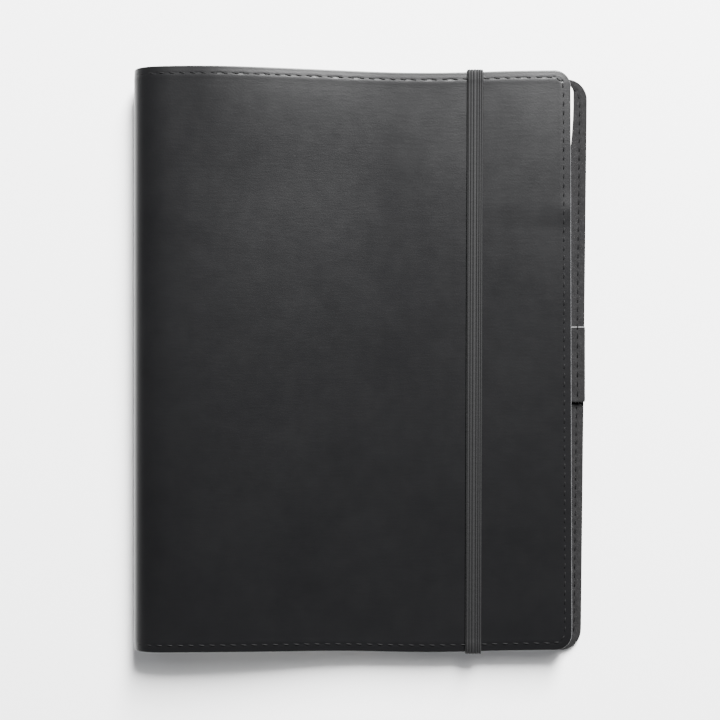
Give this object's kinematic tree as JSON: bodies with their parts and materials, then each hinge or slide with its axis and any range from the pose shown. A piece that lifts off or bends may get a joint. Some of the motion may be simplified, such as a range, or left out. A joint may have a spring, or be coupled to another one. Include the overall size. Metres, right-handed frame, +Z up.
{
  "type": "leather notebook cover",
  "caption": "Stitched leather cover that wraps a refillable notebook, with inner pockets, a soft rounded spine and an elastic band that holds it shut.",
  "frame": {"origin": "centre of the cover's footprint, on the plane that its back panel rests on", "axes": "+X from the spine to the fore edge, +Y to the head of the book, +Z up out of the front panel"},
  "size_m": [0.1731, 0.2234, 0.0174],
  "materials": {
    "cover_leather": "satin black",
    "lining_leather": "napped black, flesh side",
    "thread": "waxed black thread",
    "elastic": "ribbed dark grey",
    "paper": "matte off-white",
    "card": "matte cream",
    "book_cloth": "woven"
  },
  "bodies": {
    "back_cover": {"back_panel": "cover_leather", "back_pocket": "lining_leather", "back_seam_thread": "thread", "margin_tab": "cover_leather", "margin_tab_thread": "thread", "elastic_head_wrap": "elastic", "elastic_tail_wrap": "elastic"},
    "spine_lower": {"spine_lower": "cover_leather", "spine_lower_thread_tail": "thread", "spine_lower_thread_head": "thread"},
    "spine_middle": {"spine_middle": "cover_leather", "spine_middle_thread_tail": "thread", "spine_middle_thread_head": "thread"},
    "spine_upper": {"spine_upper": "cover_leather", "spine_upper_thread_tail": "thread", "spine_upper_thread_head": "thread"},
    "front_cover_inner": {"front_panel_inner": "cover_leather", "front_seam_thread_tail": "thread", "front_seam_thread_head": "thread"},
    "front_cover": {"front_panel": "cover_leather", "front_pocket": "lining_leather", "front_seam_thread": "thread"},
    "notebook_front_card": {"notebook_front_card": "card"},
    "notebook": {"notebook_back_card": "card", "signature_1": "paper", "signature_2": "paper", "signature_3": "paper"},
    "notebook_tape": {"notebook_spine_tape": "book_cloth"},
    "front_pages": {"signature_4": "paper", "signature_5": "paper", "signature_6": "paper"},
    "elastic": {"elastic_band": "elastic"}
  },
  "joints": [
    {"name": "spine_lower_bend", "type": "hinge", "parent": "back_cover", "child": "spine_lower", "pos_m": [-0.078, 0, 0.0007], "axis": [0, -1, 0], "range_deg": [0, 30]},
    {"name": "spine_middle_bend", "type": "hinge", "parent": "spine_lower", "child": "spine_middle", "pos_m": [-0.08484, 0, 0.00465], "axis": [0, -1, 0], "range_deg": [0, 60]},
    {"name": "spine_upper_bend", "type": "hinge", "parent": "spine_middle", "child": "spine_upper", "pos_m": [-0.08484, 0, 0.01255], "axis": [0, -1, 0], "range_deg": [0, 60]},
    {"name": "cover_opening", "type": "hinge", "parent": "spine_upper", "child": "front_cover_inner", "pos_m": [-0.078, 0, 0.0165], "axis": [0, -1, 0], "range_deg": [0, 34.45]},
    {"name": "front_cover_flex", "type": "hinge", "parent": "front_cover_inner", "child": "front_cover", "pos_m": [0.012, 0, 0.0095], "axis": [0, -1, 0], "range_deg": [-4.45, 0]},
    {"name": "front_card_slide", "type": "slide", "parent": "front_cover", "child": "notebook_front_card", "axis": [-1, 0, 0], "range_m": [0, 0.0152]},
    {"name": "notebook_slide", "type": "slide", "parent": "back_cover", "child": "notebook", "axis": [-1, 0, 0], "range_m": [0, 0.016]},
    {"name": "spine_tape_fold", "type": "hinge", "parent": "notebook", "child": "notebook_tape", "pos_m": [-0.0691, 0, 0.0018], "axis": [0, -1, 0], "range_deg": [0, 59.88]},
    {"name": "pages_turn", "type": "hinge", "parent": "notebook", "child": "front_pages", "pos_m": [-0.069, 0, 0.00508], "axis": [0, -1, 0], "range_deg": [0, 180]},
    {"name": "elastic_lift", "type": "slide", "parent": "back_cover", "child": "elastic", "axis": [0, 0, 1], "range_m": [0, 0.018], "stiffness_N_per_m": 30, "springref_m": -0.004, "deforming": ["elastic_head_wrap", "elastic_tail_wrap"]}
  ],
  "couplings": [
    {"joint": "spine_lower_bend", "follows": "pages_turn", "ratio": 0.16667},
    {"joint": "spine_middle_bend", "follows": "pages_turn", "ratio": 0.33333},
    {"joint": "spine_upper_bend", "follows": "pages_turn", "ratio": 0.33333},
    {"joint": "cover_opening", "follows": "pages_turn", "ratio": 0.19137},
    {"joint": "front_cover_flex", "follows": "pages_turn", "ratio": -0.024705},
    {"joint": "front_card_slide", "follows": "pages_turn", "m_per_rad": 0.004838},
    {"joint": "notebook_slide", "follows": "pages_turn", "m_per_rad": 0.005092},
    {"joint": "spine_tape_fold", "follows": "pages_turn", "ratio": 0.33267}
  ]
}
